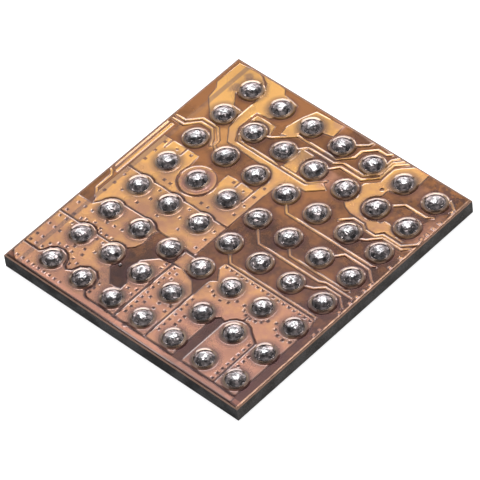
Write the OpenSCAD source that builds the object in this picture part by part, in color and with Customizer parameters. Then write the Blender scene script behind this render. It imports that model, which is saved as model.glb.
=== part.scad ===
// Wafer-level chip package, lying on its back with its solder balls up.
// X runs along the columns of balls, Y along the rows, and Z up from the back face.
// The origin is the middle of the back face.

/* [Ball grid] */
// Distance between the centres of neighbouring balls
pitch = 0.4; // [0.35:0.01:0.5]
// Diameter of a ball where it meets its pad
ball_d = 0.205; // [0.16:0.005:0.25]
// Height of a ball above its pad
ball_h = 0.055; // [0.04:0.005:0.1]

/* [Die] */
// Thickness of the silicon
die_t = 0.155; // [0.1:0.005:0.4]
// From the left edge of the die to the first column of balls
edge_left = 0.408; // [0.36:0.01:0.6]
// From the last column of balls to the right edge of the die
edge_right = 0.252; // [0.22:0.01:0.5]
// From the back edge of the die to the first row of balls
edge_back = 0.248; // [0.22:0.01:0.5]
// From the last row of balls to the front edge of the die
edge_front = 0.252; // [0.22:0.01:0.5]

/* [Redistribution copper] */
// Thickness of the copper
copper_t = 0.006; // [0.004:0.001:0.012]
// Diameter of the round copper land under each ball
land_d = 0.272; // [0.26:0.002:0.3]
// Diameter of the one larger land, which stands alone in its moat
wide_land_d = 0.38; // [0.34:0.01:0.4]
// Gap around a land that stands alone in a plane
moat_w = 0.022; // [0.012:0.002:0.03]
// Width of a track
track_w = 0.026; // [0.016:0.002:0.03]
// Width of the gap between two planes
gap_w = 0.018; // [0.01:0.002:0.024]
// Width of a square vent hole in a plane
vent_w = 0.026; // [0.016:0.002:0.03]
// Width of a test pad along the right edge
test_pad_w = 0.036; // [0.02:0.002:0.044]

/* [Polymer cover] */
// Bare silicon left around the cover
street_w = 0.016; // [0.008:0.002:0.03]
// Thickness of the polymer between the copper shapes
film_t = 0.008; // [0.006:0.001:0.02]
// Thickness of the polymer over the copper
cover_t = 0.007; // [0.004:0.001:0.012]
// Height of the collar of polymer around each pad
collar_t = 0.007; // [0.003:0.001:0.012]

/* [Hidden] */
$fn = 48;
columns = 7;
row_names = "abcdefgh";
rows = len(row_names);
die_w = edge_left + (columns - 1) * pitch + edge_right;
die_l = edge_back + (rows - 1) * pitch + edge_front;
pad_t = cover_t;
mesa_t = copper_t + cover_t;
ball_r = (ball_d * ball_d / 4 + ball_h * ball_h) / (2 * ball_h);
grid = [for (row = [0:rows - 1], column = [0:columns - 1]) [column, row]];

// The copper is drawn in grid steps: the first number is the column, counted from 0 at the
// left, and the second is the row, counted from 0 at the back. Ball a1 sits at [0, 0].
left = -edge_left / pitch;
right = columns - 1 + edge_right / pitch;
back = -edge_back / pitch;
front = rows - 1 + edge_front / pitch;
wide_land = [1, 3];

function ball_name(at) = str("ball_", row_names[at[1]], at[0] + 1);

function place(at) = [edge_left - die_w / 2 + at[0] * pitch, die_l / 2 - edge_back - at[1] * pitch];
function places(list) = [for (at = list) place(at)];
function unit(v) = v / norm(v);
function before(path, i) = unit(i > 0 ? path[i] - path[i - 1] : path[1] - path[0]);
function after(path, i) = unit(i < len(path) - 1 ? path[i + 1] - path[i] : path[i] - path[i - 1]);
function beside(path, i, distance) =
    let (a = before(path, i), m = unit(a + after(path, i)))
    path[i] + [-m[1], m[0]] * distance / (m * a);

// Points on a circle around a grid place, from one angle to another. Angles run
// anticlockwise as seen from above, from 0 at the right.
function arc(centre, r, from, to, steps = 6) =
    [for (i = [0:steps]) let (a = from + (to - from) * i / steps)
        centre + [r * cos(a), -r * sin(a)]];

// The way round the land of a ball, for the middle of a gap that just clears it
function skirt(centre, from, to) = arc(centre, (land_d / 2 + gap_w) / pitch, from, to);

// A strip of even width along a path of grid places, with mitred corners
module strip(path, width) {
    p = places(path);
    last = len(p) - 1;
    polygon(concat([for (i = [0:last]) beside(p, i, width / 2)],
                   [for (i = [last:-1:0]) beside(p, i, -width / 2)]));
}

module region(outline) polygon(places(outline));

module disc(at, diameter) translate(place(at)) circle(d = diameter);

module pad_discs() for (at = grid) disc(at, ball_d);

// A square vent hole, left out where it would cut into a land
module vent(at) {
    clear = min([for (ball = grid) norm(at - ball)]) * pitch - land_d / 2;
    if (clear > vent_w * 0.9) translate(place(at)) square(vent_w, center = true);
}

// A row of vent holes, from one grid place to another
module vents(from, to, count) {
    for (i = [0:count - 1]) vent(from + (to - from) * i / max(1, count - 1));
}

// Vent holes on an arc around a ball
module vents_round(centre, r, from, to, count) {
    for (at = arc(centre, r, from, to, count - 1)) vent(at);
}

module cover_area() square([die_w - 2 * street_w, die_l - 2 * street_w], center = true);

module planes() {
    // Back left corner, with balls a1 and b1
    region([[left + 0.14, -0.52], [-0.2, -0.55], [0.1, -0.36], [0.27, -0.1], [0.22, 0.22], [-0.28, 0.28],
            [0, 0.64], [0.28, 0.66], [0.3, 1.05], [-0.05, 1.3], [-0.33, 1.15], [-0.7, 0.8],
            [-0.76, 0.46], [left + 0.14, 0.3]]);
    // Band that comes down from the back edge and turns right to balls d3 and b5
    region([[-0.12, back + 0.06], [0.62, back + 0.06], [0.74, -0.4], [1.24, -0.32], [1.26, 0.1], [1, 0.42],
            [0.61, 0.46], [0.59, 1.1], [0.82, 1.49], [3.14, 1.5], [3.46, 1.18], [3.66, 1.3],
            [3.3, 1.64], [2.95, 1.68], [2.66, 1.86], [2.61, 2.4], [2.36, 2.4], [2.3, 1.75],
            [2.1, 1.66], [0.7, 1.62], [0.4, 1.24], [0.33, 0.9], [0.33, -0.1], [0.15, -0.4]]);
    // Ball c1's neighbour at the back: the plane of ball a3
    region([[1.75, -0.46], [2.6, -0.52], [2.62, -0.1], [2.36, -0.03], [1.92, 0.34], [1.86, 0.52],
            [1.56, 0.62], [1.5, 0.36], [1.6, -0.1]]);
    // Plane of ball b2
    region([[0.68, 0.52], [1.28, 0.52], [1.36, 0.8], [1.3, 0.95], [0.68, 0.95]]);
    // Patch between balls b3 and b4
    region([[2.3, 0.66], [2.7, 0.66], [2.7, 1.36], [2.3, 1.36]]);
    // Back right, with balls a6, b6 and b7
    region([[4.51, 0.3], [4.51, -0.2], [4.62, -0.34], [4.88, back + 0.04], [5.3, back + 0.04],
            [5.32, 0.1], [5, 0.36], [4.84, 0.38], [4.84, 0.6], [4.76, 0.8], [4.8, 1.25],
            [5.4, 1.3], [5.42, 1.18], [5.74, 1.18], [5.8, 1.35], [6.22, 1.38], [6.17, 1.45],
            [5.67, 1.45], [5.53, 1.62], [5.28, 1.62], [5.12, 1.5], [4.6, 1.5], [4.38, 1.42],
            [4.24, 1.3], [4.24, 0.58]]);
    // Left side, from row d to the front edge, up to the open boot-shaped gap
    region([[-0.67, 2.4], [0.48, 2.4], [0.52, 2.8], [1.46, 2.8], [1.46, 2.4], [2.61, 2.4], [2.6, 4.8],
            [1.36, 4.8], [1.37, 5.32], [1.3, 5.5], [1.16, 5.64], [1.3, 6.02], [1.26, 6.32],
            [1.62, 6.7], [2.36, 6.7], [2.36, 7.36], [2.36, front - 0.06], [left + 0.3, front - 0.06],
            [left + 0.06, front - 0.3], [left + 0.06, 5.12], [-0.48, 5.12], [-0.67, 4.72]]);
    // Ball c6's column: the diamond-topped plane of ball g3
    region([[1.7, 5.72], [2.02, 5.4], [2.36, 5.32], [2.36, 6.8], [1.97, 6.8], [1.94, 6.44],
            [1.78, 6.2], [1.72, 6]]);
    // Ball f4 and the plane in front of it
    region([[2.36, 4.86], [2.72, 4.86], [3.06, 5.24], [2.84, 5.3], [2.36, 5.27]]);
    region([[2.42, 5.34], [2.68, 5.3], [3.1, 5.42], [3.38, 5.7], [3.38, 7.36], [2.42, 7.36]]);
    // Front right
    region([[3.36, 4.53], [right - 0.42, 4.53], [right - 0.32, 4.8], [right - 0.32, 7.36], [3.43, 7.36],
            [3.43, 5.18], [3.6, 5.05], [3.36, 4.74]]);
    // Strip along the front edge
    region([[2.3, 7.41], [right - 0.28, 7.41], [right - 0.28, front - 0.06], [2.3, front - 0.06]]);
}

// Openings and gaps between planes
module gaps() {
    strip(concat([[-0.7, 3.67]], skirt([0, 4], 125, 55), [[0.5, 3.67]], skirt([1, 4], 125, 55),
                 [[1.5, 3.67]], skirt([2, 4], 125, 55), [[2.7, 3.67]]), gap_w);
    strip(concat([[-0.52, 5.12]], skirt([0, 5], 170, 60), skirt([1, 5], 115, 40),
                 [[1.45, 4.79], [2.7, 4.8]]), gap_w);
    strip(concat([[-1, 5.76]], skirt([0, 6], 140, 40), skirt([1, 6], 140, 50)), gap_w);
    strip(concat([[-1, 7], [-0.44, 7]], skirt([0, 7], 170, 5), [[0.5, 7.03]], skirt([1, 7], 175, -35),
                 [[1.42, 7.34], [1.5, 7.37], [2.5, 7.37]]), gap_w);
    // Short slots into the back of the left plane
    for (slot = [[-0.39, 2.72], [0.1, 2.66], [1.87, 2.62], [2.33, 2.84]])
        strip([[slot[0], 2.3], slot], gap_w);
    // Around ball g6, down between the last two columns
    strip(concat([[4.5, 7.4], [4.5, 6.1]], arc([5, 6], 0.42, 165, 40), [[5.62, 5.92], [5.64, 7.4]]), gap_w);
    region([[4.31, 7.4], [4.31, 5.95], [4.44, 5.82], [4.6, 5.86], [4.6, 7.4]]);
    strip([[4.925, 5.4], [4.925, 5.6]], gap_w);
    // Ball f4's shoulder
    region([[2.98, 5.3], [3.14, 5.14], [3.36, 4.9], [3.44, 5.1], [3.44, 5.72], [3.36, 5.66]]);
    // Window in the back right plane, and a pit in front of ball h4
    disc([4.71, 0.46], 0.04);
    disc([2.8, 7.39], 0.05);
    // Moats of the lands that stand alone in a plane
    for (at = [[1, 2], [2, 2], [5, 1], [6, 1], [3, 1], [4, 1], [1, 1]]) disc(at, land_d + 2 * moat_w);
    disc(wide_land, wide_land_d + 2 * moat_w);
}

module all_vents() {
    // Left plane, row d
    vents([-0.5, 2.56], [-0.5, 3.26], 3);
    vents([-0.1, 2.56], [0.32, 2.5], 2);
    vents([0.35, 3.48], [0.55, 3.48], 2);
    vents([1.58, 3.48], [1.8, 3.48], 2);
    vents([1.74, 2.5], [2.12, 2.58], 2);
    vents([2.46, 2.2], [2.46, 3.26], 4);
    // Left plane, row e
    vents([-0.52, 3.96], [-0.56, 4.62], 3);
    vents([0.52, 3.8], [0.52, 4.14], 2);
    vents([1.5, 3.8], [1.5, 4.14], 2);
    vents([0.34, 4.42], [1.02, 4.44], 2);
    vents([2.46, 3.96], [2.46, 4.6], 3);
    vents([-0.24, 4.36], [-0.24, 4.36], 1);
    vents([1.72, 4.44], [1.72, 4.44], 1);
    // Front left plane
    vents([-0.78, 5.3], [-0.32, 5.3], 3);
    vents([0.22, 5.34], [0.68, 5.3], 3);
    vents([-0.84, 5.64], [-0.36, 5.64], 3);
    vents_round([0, 6], 0.48, 120, 60, 3);
    vents([0.32, 5.66], [0.68, 5.65], 3);
    vents([-0.84, 5.88], [-0.43, 5.88], 3);
    vents([0.4, 5.88], [0.6, 5.88], 2);
    vents([-0.86, 6.22], [-0.3, 6.26], 4);
    vents([0.14, 6.38], [0.66, 6.22], 3);
    vents([0.48, 6.46], [0.48, 6.46], 1);
    vents([-0.86, 6.63], [-0.68, 6.63], 2);
    vents_round([0, 7], 0.5, 140, 40, 5);
    vents([-0.86, 6.86], [-0.48, 6.87], 3);
    vents([0.42, 6.86], [0.57, 6.74], 2);
    vents([1.43, 6.86], [1.43, 7.2], 3);
    vents([-0.76, 7.42], [0.66, 7.42], 9);
    // Plane of ball g3
    vents([2.27, 5.42], [2.27, 5.76], 3);
    vents([2.27, 6.26], [2.27, 6.62], 3);
    vents([2.07, 6.52], [2.07, 6.52], 1);
    // Plane in front of ball f4
    vents([2.52, 5.4], [2.52, 7.08], 10);
    vents([2.68, 5.5], [2.68, 5.68], 2);
    vents([2.68, 6.4], [2.68, 6.6], 2);
    vents([3.26, 5.76], [3.26, 5.76], 1);
    vents([3.26, 6.32], [3.26, 6.7], 3);
    vents([2.98, 6.42], [2.98, 6.6], 2);
    // Front right plane
    vents([3.47, 4.6], [6.15, 4.6], 17);
    vents([3.55, 5.3], [3.72, 5.36], 2);
    vents_round([4, 5], 0.46, -110, -30, 4);
    vents_round([5, 5], 0.44, -150, -30, 7);
    vents_round([6, 5], 0.44, -160, -60, 5);
    vents([3.52, 5.84], [3.52, 7], 7);
    vents([3.74, 6.34], [3.74, 6.66], 3);
    vents([5.53, 6.04], [5.53, 7.3], 8);
    vents([5.76, 6.32], [5.76, 6.66], 3);
}

// A track with the standard width
module track(path) strip(path, track_w);

module tracks() {
    // Pair that comes in from the left edge over ball c1
    track([[left + 0.08, 1.73], [-0.6, 1.73], [-0.3, 1.42], [0.2, 1.42], [0.5, 1.72], [0.52, 1.9], [0.75, 2.05]]);
    track([[left + 0.08, 1.86], [-0.54, 1.86], [-0.26, 1.54], [0.12, 1.54], [0.36, 1.78], [0.46, 1.98]]);
    // Left edge
    track([[left + 0.08, 4], [-0.85, 4.08], [-0.78, 4.16], [-0.78, 4.68], [-0.58, 4.9]]);
    strip([[left + 0.1, 2], [left + 0.1, 3.9]], track_w * 0.7);
    strip([[-0.78, 2], [-0.78, 4]], track_w * 1.5);
    // Past balls b2 and b3
    track([[0.76, 1.24], [0.92, 1.42], [2.18, 1.42]]);
    track([[2.28, 1.42], [3.14, 1.42], [3.5, 1.06]]);
    track([[1.3, 0.92], [1.45, 0.86], [1.94, 0.41], [3.18, 0.41], [3.5, 0.08], [3.5, -0.16], [3.78, -0.44],
           [4.05, -0.44], [4.18, back + 0.06]]);
    track([[2.2, 0.78], [2.4, 0.55], [3.22, 0.55], [3.39, 0.4], [4.06, 0.4], [4.35, 0.12], [4.35, -0.34],
           [4.56, back + 0.06]]);
    track([[3.24, 0.78], [3.43, 0.54], [4.1, 0.54], [4.42, 0.2], [4.42, -0.3], [4.7, back + 0.06]]);
    track([[3.24, -0.2], [3.5, -0.42], [3.56, back + 0.06]]);
    track([[4.27, 0.02], [4.27, -0.4], [4.4, back + 0.06]]);
    // Back right
    track([[5.26, 0.7], [5.48, 0.49], [6.12, 0.49], [6.3, 0.36]]);
    track([[6.24, -0.28], [right - 0.12, -0.1]]);
    track([[4.52, 1.84], [4.8, 1.58], [5.1, 1.58], [5.24, 1.69], [5.57, 1.69], [5.7, 1.54], [6.26, 1.54],
           [6.54, 1.26], [6.54, 1.1]]);
    track([[5.3, 2], [5.48, 1.91], [5.76, 1.62], [6.34, 1.62], [right - 0.12, 1.44]]);
    // The open field on the right
    track([[3.2, 2.22], [3.42, 2.44], [6.14, 2.44], [6.24, 2.36]]);
    track([[5.24, 2.76], [5.4, 2.56], [6.18, 2.56], [6.42, 2.76], [right - 0.12, 2.8]]);
    track([[3.22, 3.24], [3.55, 3.57], [5.47, 3.57], [5.66, 3.49], [right - 0.14, 3.49]]);
    track([[4.2, 3.2], [4.4, 3.39], [6.16, 3.39], [6.26, 3.32]]);
    track([[5.28, 3.9], [5.53, 3.8], [5.74, 3.61], [6.2, 3.61], [6.4, 3.78], [right - 0.16, 3.84]]);
    track([[3.26, 4.26], [3.45, 4.45], [right - 0.44, 4.44]]);
}

module test_pads() {
    for (row = [-0.02, 0.42, 0.64, 0.88, 1.06, 1.82, 2.2, 2.9, 3.12, 3.36, 3.62, 3.98, 4.66, 4.86])
        translate(place([right, row]) + [-street_w - test_pad_w, 0]) square(test_pad_w, center = true);
}

module copper_layout() {
    intersection() {
        cover_area();
        union() {
            difference() {
                planes();
                gaps();
                all_vents();
            }
            for (at = grid) disc(at, land_d);
            disc(wide_land, wide_land_d);
            tracks();
            test_pads();
        }
    }
}

module silicon_die() color("dimgray")
    translate([0, 0, die_t / 2]) cube([die_w, die_l, die_t], center = true);

module redistribution_copper() color("peru")
    translate([0, 0, die_t]) linear_extrude(copper_t) copper_layout();

module under_bump_pads() color("silver")
    translate([0, 0, die_t + copper_t]) linear_extrude(pad_t) pad_discs();

// The film lies between the copper shapes and over them, and rises to a collar round each pad
module polymer_cover() color("goldenrod")
    translate([0, 0, die_t]) {
        linear_extrude(copper_t) difference() {
            cover_area();
            copper_layout();
        }
        translate([0, 0, copper_t]) linear_extrude(film_t - copper_t) difference() {
            cover_area();
            pad_discs();
        }
        translate([0, 0, film_t]) linear_extrude(mesa_t - film_t) difference() {
            copper_layout();
            pad_discs();
        }
        translate([0, 0, mesa_t]) linear_extrude(collar_t) for (at = grid) difference() {
            disc(at, land_d);
            disc(at, ball_d);
        }
    }

// A ball is a drop of solder that has melted down to a dome on its pad
module ball(at) color("slategray")
    translate(concat(place(at), [die_t + copper_t + pad_t]))
        intersection() {
            translate([0, 0, ball_h - ball_r]) sphere(ball_r);
            translate([0, 0, ball_h / 2]) cube([ball_d, ball_d, ball_h], center = true);
        }

silicon_die();
redistribution_copper();
under_bump_pads();
polymer_cover();
for (at = grid) ball(at);
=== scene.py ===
# %% [markdown]
# # A wafer-level chip package, seen from its ball side
#
# The part is a sliver of silicon about 3 mm wide. Copper shapes lie on it under a film of amber
# polymer, and 56 small balls of solder stand on the copper. The CAD frame gives every size, so this
# script only dresses it: a skin with soft relief for the film, melted balls, and the finishes.

# %% Load the frame
import bpy
import math
import random
import numpy as np
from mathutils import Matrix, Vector, noise
from mathutils.geometry import delaunay_2d_cdt


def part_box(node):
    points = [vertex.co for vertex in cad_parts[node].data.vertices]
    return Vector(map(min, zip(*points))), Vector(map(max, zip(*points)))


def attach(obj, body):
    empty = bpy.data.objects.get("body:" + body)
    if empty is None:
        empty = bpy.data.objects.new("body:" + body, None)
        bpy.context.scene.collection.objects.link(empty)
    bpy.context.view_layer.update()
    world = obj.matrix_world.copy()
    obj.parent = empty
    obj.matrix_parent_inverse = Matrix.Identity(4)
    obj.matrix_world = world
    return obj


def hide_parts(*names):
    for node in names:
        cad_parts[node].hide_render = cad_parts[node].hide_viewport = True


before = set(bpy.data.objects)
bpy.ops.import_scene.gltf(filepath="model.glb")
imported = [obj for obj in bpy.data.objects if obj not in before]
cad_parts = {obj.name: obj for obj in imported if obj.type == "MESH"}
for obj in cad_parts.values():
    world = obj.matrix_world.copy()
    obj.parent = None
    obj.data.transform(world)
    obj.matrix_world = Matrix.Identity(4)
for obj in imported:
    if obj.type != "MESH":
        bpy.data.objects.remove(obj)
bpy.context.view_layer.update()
scene = bpy.context.scene
MM = 0.001
UM = 1e-6

# %% [markdown]
# ## The sizes that the frame gives
#
# Every place is taken from the boxes of the CAD nodes: the middle of each ball, the step from one
# ball to the next, and the levels of the film, the mesas over the copper and the collars.

# %% Read the sizes
ball_names = sorted(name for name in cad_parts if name.startswith("ball_"))
ball_boxes = {name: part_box(name) for name in ball_names}
ball_places = {name: Vector([(low[i] + high[i]) / 2 for i in (0, 1)])
               for name, (low, high) in ball_boxes.items()}
ball_radius = max(high[0] - low[0] for low, high in ball_boxes.values()) / 2
pitch = (ball_places["ball_a2"] - ball_places["ball_a1"]).x
first_ball = ball_places["ball_a1"]
pad_top = ball_boxes["ball_a1"][0][2]
ball_top = ball_boxes["ball_a1"][1][2]

die_low, die_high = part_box("silicon_die")
cover_low, cover_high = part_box("polymer_cover")
copper_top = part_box("redistribution_copper")[1][2]
die_top = die_high[2]
collar_top = cover_high[2]
print(len(ball_names), "balls,", round(pitch / MM, 3), "mm apart, radius", round(ball_radius / MM, 4), "mm")
print("levels in mm:", [round(z / MM, 4) for z in (die_top, copper_top, pad_top, collar_top, ball_top)])


def grid_place(u, v):
    """A place on the die, in steps of the ball grid from ball a1: u to the right, v to the front."""
    return Vector((first_ball.x + u * pitch, first_ball.y - v * pitch))


# %% [markdown]
# ## The camera
#
# A long lens from far away keeps the rows of balls nearly parallel, which a short lens from close by
# would not. The camera looks down on the front right corner, rolled a little about its line of sight.

# %% Set the camera
CAMERA_AZIMUTH = 48.85
CAMERA_ELEVATION = 47.96
CAMERA_ROLL = -7.84
CAMERA_DISTANCE = 41.65 * MM
CAMERA_LENS = 328.4
CAMERA_AIM = Vector((0.127, -0.104, 0.165)) * MM


def direction(azimuth, elevation):
    """The unit vector from the part towards a place in the studio, with azimuth 0 at the front."""
    a, e = math.radians(azimuth), math.radians(elevation)
    return Vector((math.sin(a) * math.cos(e), -math.cos(a) * math.cos(e), math.sin(e)))


def look(thing, place, aim):
    """Puts a camera or a lamp in its place and turns it towards the aim."""
    thing.location = place
    thing.rotation_euler = (aim - place).to_track_quat("-Z", "Y").to_euler()


camera_data = bpy.data.cameras.new("camera")
camera_data.lens = CAMERA_LENS
camera_data.clip_start = 1 * MM
camera_data.clip_end = 4
camera = bpy.data.objects.new("camera", camera_data)
scene.collection.objects.link(camera)
look(camera, CAMERA_AIM + direction(CAMERA_AZIMUTH, CAMERA_ELEVATION) * CAMERA_DISTANCE, CAMERA_AIM)
camera.rotation_euler.rotate_axis("Z", math.radians(CAMERA_ROLL))
scene.camera = camera
print("camera at", [round(c / MM, 1) for c in camera.location], "mm")

# %% [markdown]
# ## Node helpers
#
# Each finish below is a small tree of shader nodes. These helpers add a node with its values in one
# line, so that a finish reads from its first effect to its output.

# %% Helpers for nodes


def add_node(tree, kind, inputs=None, **settings):
    """Adds a node, with a value or a link for each input that is named."""
    node = tree.nodes.new(kind)
    for name, value in settings.items():
        setattr(node, name, value)
    for name, value in (inputs or {}).items():
        socket = node.inputs[name]
        if isinstance(value, bpy.types.NodeSocket):
            tree.links.new(value, socket)
        elif isinstance(value, (tuple, list)) and len(value) == 3 and socket.type == "RGBA":
            socket.default_value = (*value, 1)
        else:
            socket.default_value = value
    return node


def math_node(tree, operation, a, b=0.0, clamp=False):
    node = add_node(tree, "ShaderNodeMath", {0: a, 1: b}, operation=operation, use_clamp=clamp)
    return node.outputs[0]


def vector_node(tree, operation, a, b=(0, 0, 0), output=0):
    return add_node(tree, "ShaderNodeVectorMath", {0: a, 1: b}, operation=operation).outputs[output]


def mix_colour(tree, factor, a, b):
    """Colour a where the factor is 0, colour b where it is 1."""
    node = tree.nodes.new("ShaderNodeMix")
    node.data_type = "RGBA"
    for index, value in ((0, factor), (6, a), (7, b)):
        if isinstance(value, bpy.types.NodeSocket):
            tree.links.new(value, node.inputs[index])
        else:
            node.inputs[index].default_value = (*value, 1) if index else value
    return node.outputs[2]


def mapped(tree, value, low, high, to_low=0.0, to_high=1.0, smooth=True):
    """Turns the range from low to high into another one, and holds its ends beyond it."""
    node = add_node(tree, "ShaderNodeMapRange",
                    {"Value": value, "From Min": low, "From Max": high, "To Min": to_low, "To Max": to_high},
                    interpolation_type="SMOOTHSTEP" if smooth else "LINEAR")
    return node.outputs["Result"]


# %% Helpers for finishes
SCREEN_KNEE = 10.31  # below this value of 255 a screen's response is straight


def place_on_part(tree):
    """The place on the part in metres, the same for every piece, as none of them is moved."""
    return add_node(tree, "ShaderNodeTexCoord").outputs["Object"]


def axes_of_place(tree):
    return add_node(tree, "ShaderNodeSeparateXYZ", {"Vector": place_on_part(tree)}).outputs


def new_material(name):
    material = bpy.data.materials.new(name)
    material.use_nodes = True
    material.node_tree.nodes.clear()
    return material, material.node_tree


def finish_material(material, shader):
    """Links a shader node to the output of its material."""
    tree = material.node_tree
    out = tree.nodes.new("ShaderNodeOutputMaterial")
    tree.links.new(shader.outputs[0], out.inputs["Surface"])
    print("finish", material.name, "with", len(tree.nodes), "nodes")


def rgb(red, green, blue):
    """A colour as seen on a screen, from 0 to 255, turned into the linear values of a shader."""
    return tuple((c / 255 / 12.92 if c <= SCREEN_KNEE else ((c / 255 + 0.055) / 1.055) ** 2.4)
                 for c in (red, green, blue))


# %% [markdown]
# ## Mottle: unevenness that all the finishes share
#
# Nothing on a real chip is even. This group gives soft patches, fine grain and small specks as masks,
# from the place on the part in millimetres. It is a node group, built once, so that each finish uses
# it with its own scale and seed. An image would do it too, but noise stays sharp at any distance.

# %% Build the mottle group
PER_MM = (1000, 1000, 1000)


def new_group(name, inputs, outputs):
    """An empty node group with its sockets, and its inner input and output nodes."""
    tree = bpy.data.node_groups.new(name, "ShaderNodeTree")
    for socket, kind, value in inputs:
        tree.interface.new_socket(socket, in_out="INPUT", socket_type=kind).default_value = value
    for socket, kind in outputs:
        tree.interface.new_socket(socket, in_out="OUTPUT", socket_type=kind)
    return tree, tree.nodes.new("NodeGroupInput"), tree.nodes.new("NodeGroupOutput")


mottle, entry, leave = new_group(
    "mottle",
    [("Patch per mm", "NodeSocketFloat", 2.0), ("Grain per mm", "NodeSocketFloat", 40.0),
     ("Seed", "NodeSocketFloat", 0.0)],
    [("Patches", "NodeSocketFloat"), ("Grain", "NodeSocketFloat"), ("Specks", "NodeSocketFloat")])
in_mm = vector_node(mottle, "MULTIPLY", place_on_part(mottle), PER_MM)
moved = vector_node(mottle, "ADD", in_mm, entry.outputs["Seed"])
patch = add_node(mottle, "ShaderNodeTexNoise", {"Vector": moved, "Scale": entry.outputs["Patch per mm"],
                                                "Detail": 3.0, "Roughness": 0.55})
grain = add_node(mottle, "ShaderNodeTexNoise", {"Vector": moved, "Scale": entry.outputs["Grain per mm"],
                                                "Detail": 3.0, "Roughness": 0.6})
specks = add_node(mottle, "ShaderNodeTexVoronoi", {"Vector": moved, "Scale": entry.outputs["Grain per mm"]})
mottle.links.new(mapped(mottle, patch.outputs[0], 0.32, 0.68), leave.inputs["Patches"])
mottle.links.new(mapped(mottle, grain.outputs[0], 0.3, 0.7), leave.inputs["Grain"])
mottle.links.new(mapped(mottle, specks.outputs["Distance"], 0.05, 0.3, 1.0, 0.0), leave.inputs["Specks"])
print("group", mottle.name, "with", len(mottle.nodes), "nodes")


def mottled(tree, patch_per_mm, grain_per_mm, seed=0.0):
    """Places the mottle group in a finish and gives its three masks."""
    node = tree.nodes.new("ShaderNodeGroup")
    node.node_tree = mottle
    node.inputs["Patch per mm"].default_value = patch_per_mm
    node.inputs["Grain per mm"].default_value = grain_per_mm
    node.inputs["Seed"].default_value = seed
    return node.outputs


# %% [markdown]
# ## Spot: a stain round one place
#
# Dark windows, golden patches and pink rings lie at places of their own on the film. Painting them
# would need an image. Here a small group gives a soft patch of a chosen size round a chosen place,
# with a ragged edge from noise. Places and sizes are in steps of the ball grid, so they scale with it.

# %% Build the spot group
RAGGED_PER_METRE = 14000.0
FLAT = (1, 1, 0)

spot, entry, leave = new_group(
    "spot", [("Middle", "NodeSocketVector", (0, 0, 0)), ("Half size", "NodeSocketVector", (1, 1, 1))],
    [("Mask", "NodeSocketFloat")])
place = place_on_part(spot)
away = vector_node(spot, "SUBTRACT", place, entry.outputs["Middle"])
away = vector_node(spot, "DIVIDE", away, entry.outputs["Half size"])
far = vector_node(spot, "LENGTH", vector_node(spot, "MULTIPLY", away, FLAT), output="Value")
ragged = add_node(spot, "ShaderNodeTexNoise", {"Vector": place, "Scale": RAGGED_PER_METRE, "Detail": 2.0})
far = math_node(spot, "ADD", far, ragged.outputs[0])
spot.links.new(mapped(spot, far, 1.0, 1.6, 1.0, 0.0), leave.inputs["Mask"])
print("group", spot.name, "with", len(spot.nodes), "nodes")


def spotted(tree, u, v, half_u, half_v):
    """Places the spot group in a finish and gives its mask."""
    node = tree.nodes.new("ShaderNodeGroup")
    node.node_tree = spot
    middle = grid_place(u, v)
    node.inputs["Middle"].default_value = (middle.x, middle.y, 0)
    node.inputs["Half size"].default_value = (half_u * pitch, half_v * pitch, 1)
    return node.outputs["Mask"]


# %% [markdown]
# ## Three small helpers
#
# A tint lays a tone over a colour as far as a mask says, a band is a straight strip with soft edges,
# and a bump turns a mask into a normal. They are functions and not groups, as each is a node or three.

# %% Tints, bands and bumps
BAND_EDGE = 6 * UM


def tint(tree, colour, mask, strength, tone):
    """Mixes a tone into a colour, as far as a mask times a strength says."""
    return mix_colour(tree, math_node(tree, "MULTIPLY", mask, strength), colour, tone)


def band(tree, value, low, high):
    """A mask that is 1 between two places along an axis, with soft edges."""
    start = mapped(tree, value, low - BAND_EDGE, low + BAND_EDGE)
    return math_node(tree, "MULTIPLY", start, mapped(tree, value, high - BAND_EDGE, high + BAND_EDGE, 1, 0))


def bumped(tree, height, depth):
    """A normal from a height between 0 and 1, where 1 stands the given depth in metres higher."""
    node = add_node(tree, "ShaderNodeBump", {"Strength": 1.0, "Distance": depth, "Height": height})
    return node.outputs["Normal"]


# %% [markdown]
# ## The floor
#
# A chip like this is best seen on white. The floor is a plain sheet that the camera and every mirror
# see as white, while it lights the part only as paper would. It lies a hair under the part, so that
# the two faces don't fight, and it is clear from below, so that the chip's back can be looked at.

# %% Lay the floor
FLOOR_HALF = 1.5
FLOOR_DROP = 0.2 * UM
PAPER_GLOW = 0.78


def make_mesh(name, points, faces):
    mesh = bpy.data.meshes.new(name)
    mesh.from_pydata([tuple(p) for p in points], [], [tuple(f) for f in faces])
    mesh.validate()
    return mesh


def add_object(name, data):
    thing = bpy.data.objects.new(name, data)
    scene.collection.objects.link(thing)
    return thing


floor_material, tree = new_material("white paper")
paths = add_node(tree, "ShaderNodeLightPath").outputs
seen = math_node(tree, "ADD", paths["Is Camera Ray"], paths["Is Glossy Ray"])
seen = math_node(tree, "ADD", seen, paths["Is Transmission Ray"], clamp=True)
paper = add_node(tree, "ShaderNodeBsdfDiffuse", {"Color": rgb(238, 238, 238)})
glow = add_node(tree, "ShaderNodeEmission",
                {"Color": (1, 1, 1), "Strength": math_node(tree, "MULTIPLY", seen, PAPER_GLOW)})
lit = add_node(tree, "ShaderNodeAddShader", {0: paper.outputs[0], 1: glow.outputs[0]})
below = add_node(tree, "ShaderNodeNewGeometry").outputs["Backfacing"]
clear = add_node(tree, "ShaderNodeBsdfTransparent")
one_sided = add_node(tree, "ShaderNodeMixShader", {0: below, 1: lit.outputs[0], 2: clear.outputs[0]})
finish_material(floor_material, one_sided)
corners = [(x * FLOOR_HALF, y * FLOOR_HALF, die_low[2] - FLOOR_DROP)
           for x, y in ((-1, -1), (1, -1), (1, 1), (-1, 1))]
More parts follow.
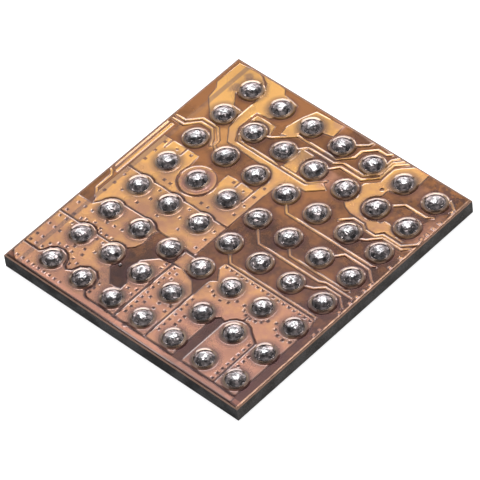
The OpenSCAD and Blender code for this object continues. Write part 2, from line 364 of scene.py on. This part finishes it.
floor = add_object("floor", make_mesh("floor", corners, [(0, 1, 2, 3)]))
floor.data.materials.append(floor_material)

# %% [markdown]
# ## The lamps
#
# Flat copper is a mirror, so the lamps are placed by what it should mirror. A broad soft box behind
# and over the chip fills the copper and the tops of the balls, with a hotter middle for their bright
# spots. A long low strip at the back puts a bright crescent on each ball, collar and copper edge. Two
# panels and two small glints light the flanks, and a weak fill near the camera keeps the near side
# from going black.

# %% Hang the lamps
ROOM_COLOUR, ROOM_STRENGTH = (0.9, 0.95, 1.0, 1), 0.14
# Each lamp: azimuth and elevation of its middle, distance and size in mm, and watts per square metre
LAMPS = {
    "soft_box": (226, 52, 60, 66, 56, 2.75),
    "hot_middle": (222, 62, 58, 26, 16, 18.75),
    "back_strip": (224, 13, 70, 100, 20, 15),
    "left_panel": (285, 24, 70, 70, 24, 2),
    "right_panel": (172, 24, 70, 70, 24, 2),
    "left_glint": (331, 26, 70, 13, 11, 42.5),
    "right_glint": (127, 26, 70, 13, 11, 42.5),
    "camera_fill": (49, 58, 70, 60, 40, 1.75),
}
for name, (azimuth, elevation, away, width, height, output) in LAMPS.items():
    data = bpy.data.lights.new(name, "AREA")
    data.shape = "RECTANGLE"
    data.size = width * MM
    data.size_y = height * MM
    data.energy = output * data.size * data.size_y
    look(add_object(name, data), CAMERA_AIM + direction(azimuth, elevation) * away * MM, CAMERA_AIM)

world = bpy.data.worlds.new("room")
scene.world = world
world.use_nodes = True
background = world.node_tree.nodes["Background"]
background.inputs["Color"].default_value = ROOM_COLOUR
background.inputs["Strength"].default_value = ROOM_STRENGTH
scene.view_settings.view_transform = "Standard"
print(len(LAMPS), "lamps")

# %% [markdown]
# ## The outline of the copper
#
# The film follows the copper under it, so the skin starts from the copper's own outline. The CAD node
# holds the planes, lands and tracks as separate slabs that touch. Their top faces are flattened,
# joined into one map, and the edges that only one triangle uses are the outline of the joined copper.
# Fresh discs with many sides are laid over the lands, so that they come out truly round.

# %% Join the copper's top faces
ROUND = 64
LAND_RADIUS = 136 * UM
LAND_OVERLAP = 1.002  # a disc is this much wider than its land, to swallow the land's own corners
WELD_COPPER, WELD_SKIN = 2e-5, 5e-5  # points closer than this become one, in mm


def ring(middle, radius):
    return [middle + Vector((math.cos(t), math.sin(t))) * radius
            for t in (2 * math.pi * i / ROUND for i in range(ROUND))]


copper_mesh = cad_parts["redistribution_copper"].data
flat_points, flat_faces = [], []
for face in copper_mesh.polygons:
    corners = [copper_mesh.vertices[i].co for i in face.vertices]
    if face.normal.z > 0.9 and corners[0].z > copper_top - 1 * UM:
        flat_faces.append(list(range(len(flat_points), len(flat_points) + len(corners))))
        flat_points += [Vector((c.x, c.y)) / MM for c in corners]
for middle in ball_places.values():
    flat_faces.append(list(range(len(flat_points), len(flat_points) + ROUND)))
    flat_points += [p / MM for p in ring(middle, LAND_RADIUS * LAND_OVERLAP)]
points, _, faces, _, _, sources = delaunay_2d_cdt(flat_points, [], flat_faces, 0, WELD_COPPER)
faces = [list(face) for face, source in zip(faces, sources) if source]
uses = {}
for face in faces:
    for a, b in zip(face, face[1:] + face[:1]):
        key = (min(a, b), max(a, b))
        uses.setdefault(key, []).append((a, b))
outline = [pair[0] for pair in uses.values() if len(pair) == 1]
print(len(flat_faces), "flat faces give", len(faces), "triangles and", len(outline), "outline edges")

# %% [markdown]
# ## The relief of the film
#
# A film of polymer softens what it covers: every copper edge becomes a slope some 24 microns wide,
# and the film climbs to a collar round each ball. A displacement modifier on a fine grid would need
# millions of faces to show such narrow slopes. So the skin is a mesh that carries its own edges along
# them: loops of points run beside the outline on both sides, and rings run round the balls.

# %% Loops beside the outline
SLOPE = 12 * UM  # half the width of a slope
SLOPE_LOOPS = (-1, -0.75, 0.75, 1)  # where the loops run, in half widths from the copper's edge
SHARPEST_CORNER = 0.5
onward = {a: b for a, b in outline}
back_from = {b: a for a, b in outline}


def beside(here, previous, following, distance):
    """The point that lies the given distance to the left of an outline's corner."""
    a, b = (here - previous).normalized(), (following - here).normalized()
    along = (a + b).normalized() if (a + b).length > 1e-6 else a
    across = Vector((-along.y, along.x))
    return here + across * (distance / max(SHARPEST_CORNER, along.dot(a)))


outline_points = [Vector(p) * MM for p in points]
segments = np.array([(*outline_points[a], *outline_points[b]) for a, b in outline])
print("outline length", round(float(np.hypot(*(segments[:, 2:] - segments[:, :2]).T).sum()) / MM, 1), "mm")

# %% [markdown]
# ## The height of the film
#
# One function gives the height at any place from two distances: how far it lies from the copper's
# edge, and how far from the nearest ball. A slope with straight sides catches the low light along
# its whole width, where a softer one would show only a thin line. The collar is a low cone.

# %% Height of the film at any place
FILM_TOP = die_top + 6 * UM
MESA_TOP = pad_top
SLOPE_SHARE = 0.9  # the part of the slope's width that rises
COLLAR_RISE, COLLAR_CURVE = 12 * UM, 1.1
FOOT, SKIRT = ball_radius - 2 * UM, ball_radius + 40 * UM
PAD_SINK, FOOT_SLOPE = 2 * UM, 8 * UM  # under a ball the film dips below the pad's top
EDGE_ROUND, EDGE_SHARE = 9 * UM, 0.2  # the film's rim is rounded and starts at this share of its height
REACH = 30 * UM  # distances from the outline matter up to here
TILE = 150 * UM  # places are measured tile by tile, to save memory


def smooth_step(t):
    t = np.clip(t, 0, 1)
    return t * t * (3 - 2 * t)


def outline_distance(xy):
    """Signed distance to the copper's outline, positive over copper, and the direction away from it."""
    a, b = segments[:, :2], segments[:, 2:]
    low, high = np.minimum(a, b), np.maximum(a, b)
    distance, away = np.full(len(xy), REACH), np.zeros((len(xy), 2))
    tiles = np.floor(xy / TILE).astype(int)
    for tile in np.unique(tiles, axis=0):
        chosen = np.nonzero((tiles == tile).all(1))[0]
        p = xy[chosen][:, None, :]
        first, last = p.min((0, 1)), p.max((0, 1))
        near = ((low < last + REACH) & (high > first - REACH)).all(1)
        if near.any():
            start, ab = a[near], b[near] - a[near]
            t = np.clip(((p - start) * ab).sum(2) / (ab ** 2).sum(1), 0, 1)
            gap = p - (start + ab * t[..., None])
            size = np.sqrt((gap ** 2).sum(2))
            best = size.argmin(1)
            row = np.arange(len(chosen))
            distance[chosen] = np.minimum(size[row, best], REACH)
            away[chosen] = gap[row, best] / np.maximum(size[row, best], 1e-12)[:, None]
        level = (low[:, 1] <= last[1]) & (high[:, 1] > first[1])
        level &= (high[:, 0] > first[0]) & (a[:, 1] != b[:, 1])
        start, end = a[level], b[level]
        crossed = (start[:, 1] > p[..., 1]) != (end[:, 1] > p[..., 1])
        at = start[:, 0] + (p[..., 1] - start[:, 1]) * ((end - start)[:, 0] / (end - start)[:, 1])
        outside = (crossed & (at > p[..., 0])).sum(1) % 2 == 0
        distance[chosen[outside]] *= -1
        away[chosen[outside]] *= -1
    return distance, away


middles = np.array([tuple(p) for p in ball_places.values()])


def from_ball(xy):
    """Distance to the middle of the nearest ball."""
    return np.sqrt(((xy[:, None, :] - middles) ** 2).sum(2).min(1))


def film_height(xy, from_edge):
    """Height of the film's top, from the place and its signed distance to the copper's edge."""
    rise = np.clip((from_edge / SLOPE / SLOPE_SHARE + 1) / 2, 0, 1)
    z = FILM_TOP + (MESA_TOP - FILM_TOP) * rise
    r = from_ball(xy)
    z = z + COLLAR_RISE * np.clip((SKIRT - r) / (SKIRT - FOOT), 0, 1) ** COLLAR_CURVE
    z = z + (pad_top - PAD_SINK - z) * smooth_step((FOOT - r) / FOOT_SLOPE)
    edge = np.minimum.reduce([xy[:, 0] - cover_low[0], cover_high[0] - xy[:, 0],
                              xy[:, 1] - cover_low[1], cover_high[1] - xy[:, 1]])
    shoulder = np.sqrt(1 - (1 - np.clip(edge / EDGE_ROUND, 0, 1)) ** 2) * (1 - EDGE_SHARE) + EDGE_SHARE
    return die_top + (z - die_top) * shoulder


# %% [markdown]
# ## The mesh of the film
#
# All loops and rings go into one triangulation, which keeps their edges and fills the rest with as
# few triangles as it can. Exact normals from the height function make those few triangles look smooth.

# %% Mesh the skin
RING_STEPS = [-10, -6, -2, 4, 11, 18, 25, 32, 36, 40, 44, 56, 70, 95]  # from the ball's rim, in microns
RIM_STEPS = (0, 0.12, 0.4, 1.0)  # from the film's rim, in widths of its rounding
skin_points, skin_edges = [], []


def add_loop(loop):
    """Adds a closed loop of points and the edges between them."""
    start, count = len(skin_points), len(loop)
    skin_points.extend(p / MM for p in loop)
    skin_edges.extend((start + i, start + (i + 1) % count) for i in range(count))


for side in SLOPE_LOOPS:
    index = {corner: len(skin_points) + i for i, corner in enumerate(onward)}
    for corner in onward:
        previous, following = outline_points[back_from[corner]], outline_points[onward[corner]]
        skin_points.append(beside(outline_points[corner], previous, following, side * SLOPE) / MM)
    skin_edges.extend((index[a], index[b]) for a, b in outline)

for middle in ball_places.values():
    for step in RING_STEPS:
        add_loop(ring(middle, ball_radius + step * UM))

for step in RIM_STEPS:
    d = EDGE_ROUND * step
    x0, y0, x1, y1 = cover_low[0] + d, cover_low[1] + d, cover_high[0] - d, cover_high[1] - d
    add_loop([Vector(c) for c in ((x0, y0), (x1, y0), (x1, y1), (x0, y1))])

low, high = Vector(cover_low[:2]) / MM, Vector(cover_high[:2]) / MM
skin_points = [Vector((min(max(p.x, low.x), high.x), min(max(p.y, low.y), high.y))) for p in skin_points]
skin_xy, _, skin_faces, *_ = delaunay_2d_cdt(skin_points, skin_edges, [], 0, WELD_SKIN)
print(len(skin_points), "points in,", len(skin_xy), "points and", len(skin_faces), "triangles out")

# %% Lift it and take its normals
NUDGE = 0.1 * UM
xy = np.array([tuple(p) for p in skin_xy]) * MM
distance, away = outline_distance(xy)
heights = film_height(xy, distance)
slopes = []
for axis in (0, 1):
    shift = np.zeros(2)
    shift[axis] = NUDGE
    change = away[:, axis] * NUDGE
    rise = film_height(xy + shift, distance + change) - film_height(xy - shift, distance - change)
    slopes.append(rise / (2 * NUDGE))
normals = np.stack([-slopes[0], -slopes[1], np.ones(len(xy))], 1)
normals /= np.linalg.norm(normals, axis=1)[:, None]
print("film from", round(heights.min() / MM, 4), "to", round(heights.max() / MM, 4), "mm")

# %% [markdown]
# ## The closed skin
#
# The skin is a closed body, as the film is: its rim drops to the die, and a flat face shuts it
# underneath. Each point keeps two numbers for the finish, which tell how far it lies on copper and
# how near it is to a ball. Written on the points, they follow the mesh more sharply than a mask would.

# %% Build the skin
HALO = 100 * UM  # the finish knows its distance to a ball up to here
MASK_START = 0.75  # the copper's mask begins this far outside its edge, in half widths of a slope


def rim_of(faces):
    """The open edge of a sheet of faces, as one loop of its points."""
    pairs = dict.fromkeys((a, b) for face in faces for a, b in zip(face, face[1:] + face[:1]))
    follows = {a: b for a, b in pairs if (b, a) not in pairs}
    first = next(iter(follows))
    loop, here = [first], follows[first]
    while here != first:
        loop.append(here)
        here = follows[here]
    return loop


rim = rim_of([list(face) for face in skin_faces])
count = len(xy)
solid_points = [(x, y, z) for (x, y), z in zip(xy, heights)]
solid_points += [(xy[i][0], xy[i][1], die_top) for i in rim]
solid_faces = [list(face) for face in skin_faces]
for i, here in enumerate(rim):
    j = (i + 1) % len(rim)
    solid_faces.append([rim[j], here, count + i, count + j])
solid_faces.append([count + i for i in range(len(rim))][::-1])
skin_mesh = make_mesh("film_skin", solid_points, solid_faces)
skin_mesh.polygons.foreach_set("use_smooth", [len(face) == 3 for face in solid_faces])


def keep_on_points(name, top, rim_value):
    """Stores a number on each point of the top, and one and the same number along the lower rim."""
    kept = skin_mesh.attributes.new(name, "FLOAT", "POINT")
    kept.data.foreach_set("value", np.concatenate([top, np.full(len(rim), float(rim_value))]))


keep_on_points("over_copper", smooth_step(distance / SLOPE + MASK_START), 0)
keep_on_points("ball_gap", np.clip((from_ball(xy) - ball_radius) / HALO, 0, 1), 1)
all_normals = np.concatenate([normals, np.tile([0.0, 0.0, -1.0], (len(rim), 1))])
skin_mesh.normals_split_custom_set_from_vertices([tuple(n) for n in all_normals])
film = add_object("film_skin", skin_mesh)
print("skin:", len(skin_mesh.polygons), "faces, rim of", len(rim))

# %% [markdown]
# ## Drops of solder
#
# Molten solder pulls itself into a part of a sphere. Rings of points that close at the top give this
# form with even faces, which a cut sphere from the menu wouldn't have at its foot.

# %% The form of a drop
BALL_SIDES, BALL_RINGS = 44, 16
WALL = 13 * UM  # height of the upright side under the dome
ball_height = ball_top - pad_top
contact = 2 * math.atan((ball_height - WALL) / ball_radius)
ball_curve = ball_radius / math.sin(contact)
print("contact angle", round(math.degrees(contact), 1), "degrees,", end=" ")
print("radius of the dome", round(ball_curve / MM, 3), "mm")


def on_sphere(around, up):
    """The unit vector at an angle round the upright axis and an angle above the ground."""
    return Vector((math.cos(around) * math.cos(up), math.sin(around) * math.cos(up), math.sin(up)))


def ring_faces(rings, sides, leaning=False):
    """Faces between the rings of a dome whose last point is its top. The rings run upwards."""
    faces = []
    for i in range(rings - 1):
        for j in range(sides):
            a, b = i * sides + j, i * sides + (j + 1) % sides
            c, d = a + sides, b + sides
            faces += [(a, b, c), (b, d, c)] if leaning else [(a, b, d, c)]
    last = (rings - 1) * sides
    return faces + [(last + j, last + (j + 1) % sides, last + sides) for j in range(sides)]


def smooth_object(name, points, faces):
    """An object whose faces are shaded smooth, apart from its flat underside."""
    mesh = make_mesh(name, points, faces)
    mesh.polygons.foreach_set("use_smooth", [len(face) < 5 for face in faces])
    return add_object(name, mesh)


# %% [markdown]
# ## The speck
#
# When solder melts, it may spit a tiny drop beside a ball. One such speck lies on the film, a plain
# little dome that is sunk in by a hair.

# %% Add the speck
SPECK_SIZE, SPECK_RINGS, SPECK_SIDES = 20 * UM, 6, 14
SPECK_SINK = 1 * UM
speck_foot = Vector((*grid_place(1.41, 6.12), FILM_TOP - SPECK_SINK))
speck_points = [speck_foot + SPECK_SIZE * on_sphere(math.tau * j / SPECK_SIDES, math.pi / 2 * i / SPECK_RINGS)
                for i in range(SPECK_RINGS) for j in range(SPECK_SIDES)]
speck_points.append(speck_foot + Vector((0, 0, SPECK_SIZE)))
speck_faces = ring_faces(SPECK_RINGS, SPECK_SIDES) + [list(range(SPECK_SIDES))[::-1]]
speck = smooth_object("solder_speck", speck_points, speck_faces)
print("speck", round(SPECK_SIZE / MM, 3), "mm high")

# %% [markdown]
# ## The balls
#
# Each ball sits on its round pad. The tops are not polished: they are wrinkled and pitted, because
# the metal froze in small grains. Each dome is pushed in and out by noise and by dents of its own,
# less and less towards its foot, which stays round on the pad.

# %% Melt the balls
random.seed(56)
WAVES, WRINKLES, SHRINK = 0.030, 0.016, 0.014  # shares of the dome's radius
DENTS = 7
FOOT_SINK = 1.5 * UM


def solder_ball(name, middle):
    """A dome with waves, wrinkles and dents of its own, closed underneath."""
    turn = random.uniform(0, math.tau)
    seed = Vector((random.uniform(-50, 50), random.uniform(-50, 50), random.uniform(-50, 50)))
    dents = []
    for _ in range(DENTS):
        around, up = random.uniform(0, math.tau), random.uniform(0.7, 1.45)
        dents.append((on_sphere(around, up), random.uniform(0.07, 0.16), random.uniform(0.008, 0.03)))
    points = []
    for i in range(BALL_RINGS + 1):
        up = math.pi / 2 - contact * (1 - i / BALL_RINGS)
        loose = min(1.0, 3 * i / BALL_RINGS)
        for j in range(BALL_SIDES if i < BALL_RINGS else 1):
            n = on_sphere(turn + math.tau * (j + 0.5 * (i % 2)) / BALL_SIDES, up)
            push = WAVES * noise.noise(n * 3 + seed) + WRINKLES * noise.noise(n * 8 + seed) - SHRINK
            for at, wide, deep in dents:
                push -= deep * math.exp(-((n - at).length / wide) ** 2)
            r = ball_curve * (1 + loose * push)
            height = min(ball_top - ball_curve + n.z * r, ball_top)
            points.append((middle.x + n.x * r, middle.y + n.y * r, height))
    faces = ring_faces(BALL_RINGS, BALL_SIDES, leaning=True)
    foot = len(points)
    points += [(x, y, pad_top - FOOT_SINK) for x, y, z in points[:BALL_SIDES]]
    faces += [(foot + j, foot + (j + 1) % BALL_SIDES, (j + 1) % BALL_SIDES, j) for j in range(BALL_SIDES)]
    faces.append(list(range(foot, foot + BALL_SIDES))[::-1])
    return smooth_object(name, points, faces)


balls = {name: solder_ball("solder_" + name[5:], middle) for name, middle in ball_places.items()}
print(len(balls), "balls of", len(next(iter(balls.values())).data.polygons), "faces")

# %% [markdown]
# ## The finish of the film: colours that drift
#
# Copper under amber polymer is a metal seen through a clear coat: a metallic base for the copper
# with a glossy coat on top. Its colour drifts over the die from gold to pink, as the film's
# thickness does, and where there is no copper the film lies on dark silicon. A real glass layer over
# the copper would be slower to render and hardly look different at 5 microns.

# %% Film: copper and bare silicon
film_material, tree = new_material("amber film over copper")
axes = axes_of_place(tree)
across = mapped(tree, axes["X"], die_low[0], die_high[0], smooth=False)
along = mapped(tree, axes["Y"], die_low[1], die_high[1], smooth=False)
marks = mottled(tree, 1.6, 55.0)
flecks = mottled(tree, 9.0, 20.0, 5.0)
copper_mask = add_node(tree, "ShaderNodeAttribute", attribute_name="over_copper").outputs["Fac"]
towards_gold = math_node(tree, "SUBTRACT", along, math_node(tree, "MULTIPLY", across, 0.5))
for masks, weight in ((marks, 0.3), (flecks, 0.35)):
    towards_gold = math_node(tree, "ADD", towards_gold, math_node(tree, "MULTIPLY", masks["Patches"], weight))
gold = mapped(tree, towards_gold, 0.0, 1.25)
copper_colour = mix_colour(tree, gold, rgb(162, 106, 78), rgb(216, 156, 68))
bare_colour = mix_colour(tree, gold, rgb(38, 21, 17), rgb(144, 90, 44))
worn = mix_colour(tree, math_node(tree, "MULTIPLY", marks["Grain"], 0.07), copper_colour, rgb(150, 84, 56))
colour = mix_colour(tree, copper_mask, bare_colour, worn)
print("film colour:", len(tree.nodes), "nodes so far")

# %% [markdown]
# ## The finish of the film: corners and edges
#
# The front right corner is duller, and the back right one is rubbed dark, more so beside the copper
# than on it. Along the near edges of the die, at the right and the front, pale bands are painted highlights
# where the film's rim meets the light; a dark line runs along the very front edge, and a darker band lies
# near the left edge.

# %% Film: corners and edges
dull_corner = math_node(tree, "MULTIPLY", across, math_node(tree, "SUBTRACT", 1.0, along))
colour = tint(tree, colour, dull_corner, 0.4, rgb(110, 66, 62))
rubbed = math_node(tree, "MULTIPLY", mapped(tree, across, 0.72, 0.95), mapped(tree, along, 0.6, 0.85))
rubbed = math_node(tree, "MULTIPLY", rubbed, mapped(tree, flecks["Grain"], 0.3, 0.7))
colour = tint(tree, colour, rubbed, mapped(tree, copper_mask, 0, 1, 0.75, 0.15), rgb(62, 36, 32))
# Painted highlight: a pale cream band along the right edge of the film
right_edge_highlight = band(tree, axes["X"], grid_place(6.545, 0).x, grid_place(6.62, 0).x)
colour = tint(tree, colour, right_edge_highlight, mapped(tree, flecks["Patches"], 0, 1, 0.35, 0.8), rgb(214, 168, 138))
# Painted highlight: a pinkish band along the front edge of the film
front_edge_highlight = band(tree, axes["Y"], grid_place(0, 7.53).y, grid_place(0, 7.42).y)
colour = tint(tree, colour, front_edge_highlight, 0.4, rgb(178, 116, 98))
front_dark_line = band(tree, axes["Y"], grid_place(0, 7.575).y, grid_place(0, 7.535).y)
colour = tint(tree, colour, front_dark_line, 0.7, rgb(60, 34, 30))
left_band = band(tree, axes["X"], grid_place(-0.66, 0).x, grid_place(-0.53, 0).x)
colour = tint(tree, colour, left_band, 0.6, rgb(104, 72, 62))
print("with corners and edges:", len(tree.nodes), "nodes")

# %% [markdown]
# ## The finish of the film: stains
#
# Some windows between the copper shapes are darker or paler than their neighbours, and one wide land
# is pink. Each stain is a spot with a place, a half size and a strength. They are laid one over another.

# %% Film: stains
DARK, TAN, GOLDEN = rgb(62, 32, 26), rgb(176, 122, 96), rgb(206, 146, 84)
ROSE, VIOLET = rgb(170, 100, 92), rgb(78, 48, 62)
# Each stain: place along and across the ball grid, its half sizes in grid steps, and its strength
STAINS = (
    (DARK, ((3.00, 0.50, 0.30, 0.30, 0.65), (3.22, -0.50, 0.45, 0.20, 0.60), (2.50, 0.70, 0.35, 0.40, 0.40),
            (1.50, 1.15, 0.30, 0.40, 0.40), (3.03, 3.50, 0.10, 1.50, 0.50), (4.50, 6.70, 0.30, 0.90, 0.40),
            (3.30, 5.40, 0.35, 0.50, 0.35), (1.45, 6.45, 0.35, 0.60, 0.35), (5.30, 7.50, 1.50, 0.16, 0.45),
            (1.00, 0.50, 0.30, 0.25, 0.25), (6.45, 6.60, 0.25, 1.20, 0.25))),
    (TAN, ((3.50, 1.00, 0.40, 0.35, 0.70), (6.45, 0.80, 0.25, 0.70, 0.50), (2.50, -0.50, 0.25, 0.20, 0.50))),
    (GOLDEN, ((0.50, 1.60, 0.40, 0.50, 0.75), (-0.50, 1.50, 0.20, 0.90, 0.30))),
    (TAN, ((5.50, 0.00, 0.40, 0.30, 0.30),)),
    (ROSE, ((1.00, 3.00, 0.50, 0.50, 0.70),)),
    (VIOLET, ((-0.36, -0.30, 0.16, 0.16, 0.55), (-0.42, 0.18, 0.12, 0.20, 0.50))),
)
for tone, places in STAINS:
    for u, v, half_u, half_v, strength in places:
        colour = tint(tree, colour, spotted(tree, u, v, half_u, half_v), strength, tone)
print(sum(len(places) for _, places in STAINS), "stains,", len(tree.nodes), "nodes")

# %% [markdown]
# ## The finish of the film: copper edges and balls
#
# The slope at each copper edge is darkened with painted shade, which draws the shapes. Round each ball
# the film is darkened with painted shade, and the collar is given a dark colour as painted shade at the
# ball's foot.

# %% Film: edges, collars and gloss
# Painted shade: the slope beside every copper edge is darkened
slope_shade_mask = math_node(tree, "MULTIPLY", mapped(tree, copper_mask, 0.0, 0.25),
                       mapped(tree, copper_mask, 0.5, 0.85, 1, 0))
colour = tint(tree, colour, slope_shade_mask, 0.75, rgb(70, 26, 30))
gap = add_node(tree, "ShaderNodeAttribute", attribute_name="ball_gap").outputs["Fac"]
# Painted shade: the film is darkened round each ball, most near its foot
colour = mix_colour(tree, mapped(tree, gap, 0.35, 1.0, 0.55, 0), colour, rgb(72, 36, 38))
collar = mapped(tree, gap, 0.10, 0.30, 1, 0)
# Painted shade at the ball's foot: the collar gets a dark, mottled colour
collar_shade_colour = mix_colour(tree, flecks["Patches"], rgb(78, 56, 50), rgb(132, 106, 86))
colour = mix_colour(tree, collar, colour, collar_shade_colour)
rough = mapped(tree, marks["Patches"], 0, 1, 0.20, 0.32)
rough = math_node(tree, "SUBTRACT", rough, math_node(tree, "MULTIPLY", collar, 0.08))
shader = add_node(tree, "ShaderNodeBsdfPrincipled", {
    "Base Color": colour, "Roughness": rough, "Metallic": mapped(tree, collar, 0, 1, 0.6, 1.0),
    "Normal": bumped(tree, marks["Grain"], 0.08 * UM),
    "Coat Weight": mapped(tree, copper_mask, 0, 0.5, 0.15, 0.9), "Coat Roughness": 0.08, "Coat IOR": 1.65})
finish_material(film_material, shader)
skin_mesh.materials.append(film_material)

# %% [markdown]
# ## The finish of the solder
#
# Solder keeps its bright colour on top and is painted a darker brown grey on its flanks, partly as
# tarnish and partly as painted shade that keeps the highlight on the top, with small black specks. One metal
# with two colours and a mask by height gives this.

# %% Solder
solder_material, tree = new_material("reflowed solder")
marks = mottled(tree, 16.0, 24.0, 3.0)
bright = mix_colour(tree, marks["Grain"], rgb(160, 154, 156), rgb(222, 220, 222))
colour = tint(tree, bright, marks["Specks"], 0.7, rgb(26, 22, 22))
# Partly tarnish and partly painted shade: the flanks below the top are darker than the top
flank = mapped(tree, axes_of_place(tree)["Z"], pad_top + 40 * UM, pad_top + 51 * UM, 1, 0)
flank_tarnish_and_shade = mix_colour(tree, marks["Patches"], rgb(52, 44, 44), rgb(158, 144, 143))
colour = tint(tree, colour, flank, 0.85, flank_tarnish_and_shade)
rough = math_node(tree, "ADD", mapped(tree, marks["Grain"], 0, 1, 0.08, 0.2),
                  math_node(tree, "MULTIPLY", flank, 0.08))
shader = add_node(tree, "ShaderNodeBsdfPrincipled", {
    "Base Color": colour, "Metallic": 1.0, "Specular Tint": rgb(110, 98, 96),
    "Roughness": rough, "Normal": bumped(tree, marks["Grain"], 2.0 * UM)})
finish_material(solder_material, shader)
for ball in [*balls.values(), speck]:
    ball.data.materials.append(solder_material)

# %% [markdown]
# ## The finish of the silicon
#
# The saw leaves the sides of the die near black and dull. The right side is painted a lighter grey as painted
# light, and a pinkish band at the top of every side is a painted highlight along the die's edge. One grey
# with masks by place gives all three.

# %% Silicon
silicon_material, tree = new_material("sawn silicon")
marks = mottled(tree, 5.0, 90.0, 7.0)
axes = axes_of_place(tree)
colour = mix_colour(tree, marks["Grain"], rgb(14, 13, 14), rgb(34, 32, 33))
# Painted light: the right side of the die gets a lighter grey than the other sides
lit_right_wall = mapped(tree, axes["X"], die_high[0] - 4 * UM, die_high[0] - 2 * UM)
sawn = mix_colour(tree, marks["Grain"], rgb(52, 48, 46), rgb(92, 88, 86))
colour = mix_colour(tree, lit_right_wall, colour, sawn)
# Painted highlight: a pinkish band along the top of every side of the die
wall_top_highlight = mapped(tree, axes["Z"], die_top - 5 * UM, die_top - 2 * UM)
colour = tint(tree, colour, wall_top_highlight, 0.8, rgb(176, 138, 118))
shader = add_node(tree, "ShaderNodeBsdfPrincipled", {
    "Base Color": colour, "Specular IOR Level": 0.08,
    "Roughness": mapped(tree, marks["Patches"], 0, 1, 0.35, 0.6),
    "Normal": bumped(tree, marks["Grain"], 1.5 * UM)})
finish_material(silicon_material, shader)

# %% [markdown]
# ## The finishes under the film
#
# Bare copper and nickel lie under the film and the balls, out of sight until the skin is hidden.
# They are plain mottled metals, so one function makes both.

# %% Copper and pads


def plain_metal(name, scales, dark, pale):
    """A metal with grain in its colour and patches in its roughness."""
    material, tree = new_material(name)
    marks = mottled(tree, *scales)
    shader = add_node(tree, "ShaderNodeBsdfPrincipled", {
        "Base Color": mix_colour(tree, marks["Grain"], dark, pale), "Metallic": 1.0,
        "Roughness": mapped(tree, marks["Patches"], 0, 1, 0.3, 0.5)})
    finish_material(material, shader)
    return material


copper_material = plain_metal("plated copper", (3.0, 80.0, 11.0), rgb(196, 120, 84), rgb(226, 152, 112))
nickel_material = plain_metal("nickel pad", (6.0, 90.0, 13.0), rgb(170, 168, 160), rgb(200, 198, 190))
for name, material in (("silicon_die", silicon_material), ("redistribution_copper", copper_material),
                       ("under_bump_pads", nickel_material)):
    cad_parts[name].data.materials[0] = material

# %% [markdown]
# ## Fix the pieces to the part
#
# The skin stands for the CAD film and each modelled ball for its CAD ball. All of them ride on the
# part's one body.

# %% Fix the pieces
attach(film, "root")
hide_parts("polymer_cover")
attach(speck, "root")
for name, ball in balls.items():
    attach(ball, "root")
    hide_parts(name)
